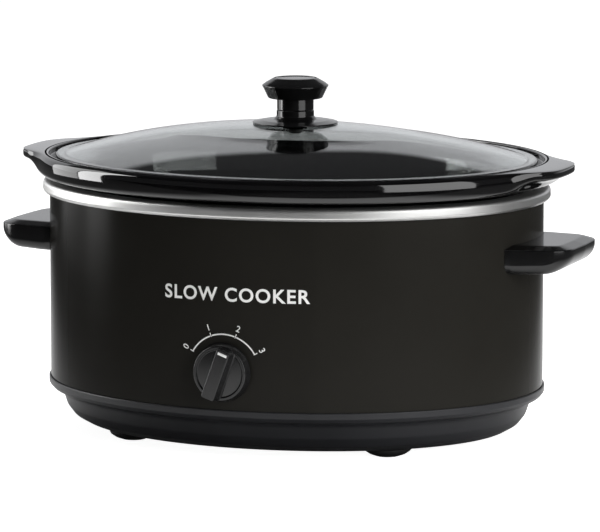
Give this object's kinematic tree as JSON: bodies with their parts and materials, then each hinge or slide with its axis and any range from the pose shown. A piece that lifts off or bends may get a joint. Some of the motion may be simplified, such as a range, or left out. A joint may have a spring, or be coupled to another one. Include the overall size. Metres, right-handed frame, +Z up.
{
  "type": "slow cooker",
  "caption": "Oval electric slow cooker: black housing with side handles and a rotary heat control, lift-out glazed crock with two ears, domed glass lid with a round knob.",
  "frame": {"origin": "on the table plane under the feet, at the middle of the cooker's footprint box", "axes": "+Z up, +X from the left handle to the right handle seen from the front, -Y towards the control knob"},
  "size_m": [0.444, 0.3214, 0.2611],
  "materials": {
    "black_enamel": "satin black enamel on steel sheet",
    "bright_aluminium": "bright, lightly brushed",
    "base_plastic": "satin moulded black",
    "black_plastic": "glossy moulded black",
    "black_glaze": "gloss black glaze on stoneware",
    "clear_glass": "clear tempered glass",
    "foot_rubber": "matte",
    "plated_steel": "zinc plated",
    "brass": "stamped",
    "glass_wool": "needled glass-fibre mat",
    "lead_sleeve": "braided glass sleeve",
    "phenolic": "moulded phenolic resin",
    "white_ink": "printed white"
  },
  "bodies": {
    "housing": {"outer_wrap": "black_enamel", "heating_well": "bright_aluminium", "base_tray": "base_plastic", "foot_front_left": "foot_rubber", "foot_front_right": "foot_rubber", "foot_rear_left": "foot_rubber", "foot_rear_right": "foot_rubber", "handle_right": "black_plastic", "handle_left": "black_plastic", "handle_screw_right_front": "plated_steel", "handle_screw_right_rear": "plated_steel", "handle_screw_left_front": "plated_steel", "handle_screw_left_rear": "plated_steel", "heater_band": "plated_steel", "band_insulation": "glass_wool", "band_spring_lower": "plated_steel", "band_spring_upper": "plated_steel", "band_tab_low": "brass", "band_tab_high": "brass", "band_tab_common": "brass", "heat_shield": "plated_steel", "centre_stud": "plated_steel", "centre_washer": "plated_steel", "centre_nut": "plated_steel", "shield_spacer": "plated_steel", "earth_tag": "brass", "earth_screw": "plated_steel", "thermal_fuse": "plated_steel", "fuse_strap": "plated_steel", "rotary_switch": "phenolic", "switch_tab_low": "brass", "switch_tab_high": "brass", "switch_tab_line": "brass", "switch_screw_left": "plated_steel", "switch_screw_right": "plated_steel", "cord_gland": "black_plastic", "gland_nut": "black_plastic", "terminal_block": "phenolic", "terminal_screw": "plated_steel", "lead_line": "lead_sleeve", "lead_low": "lead_sleeve", "lead_high": "lead_sleeve", "lead_common": "lead_sleeve", "lead_neutral": "lead_sleeve", "lead_earth": "lead_sleeve"},
    "control": {"control_knob": "black_plastic", "knob_pointer": "white_ink", "switch_shaft": "plated_steel", "knob_clip": "plated_steel"},
    "pot": {"crock": "black_glaze"},
    "lid": {"lid_glass": "clear_glass", "lid_knob_shield": "black_plastic", "lid_knob": "black_plastic", "lid_knob_insert": "black_plastic", "lid_washer": "foot_rubber", "lid_screw": "plated_steel"}
  },
  "joints": [
    {"name": "control_turn", "type": "hinge", "parent": "housing", "child": "control", "pos_m": [0, -0.1443, 0.0665], "axis": [0, 1, 0], "range_deg": [-80, 40]},
    {"name": "crock_lift", "type": "slide", "parent": "housing", "child": "pot", "axis": [0, 0, 1], "range_m": [0, 0.135]},
    {"name": "lid_lift", "type": "slide", "parent": "pot", "child": "lid", "axis": [0, 0, 1], "range_m": [0, 0.08]}
  ]
}
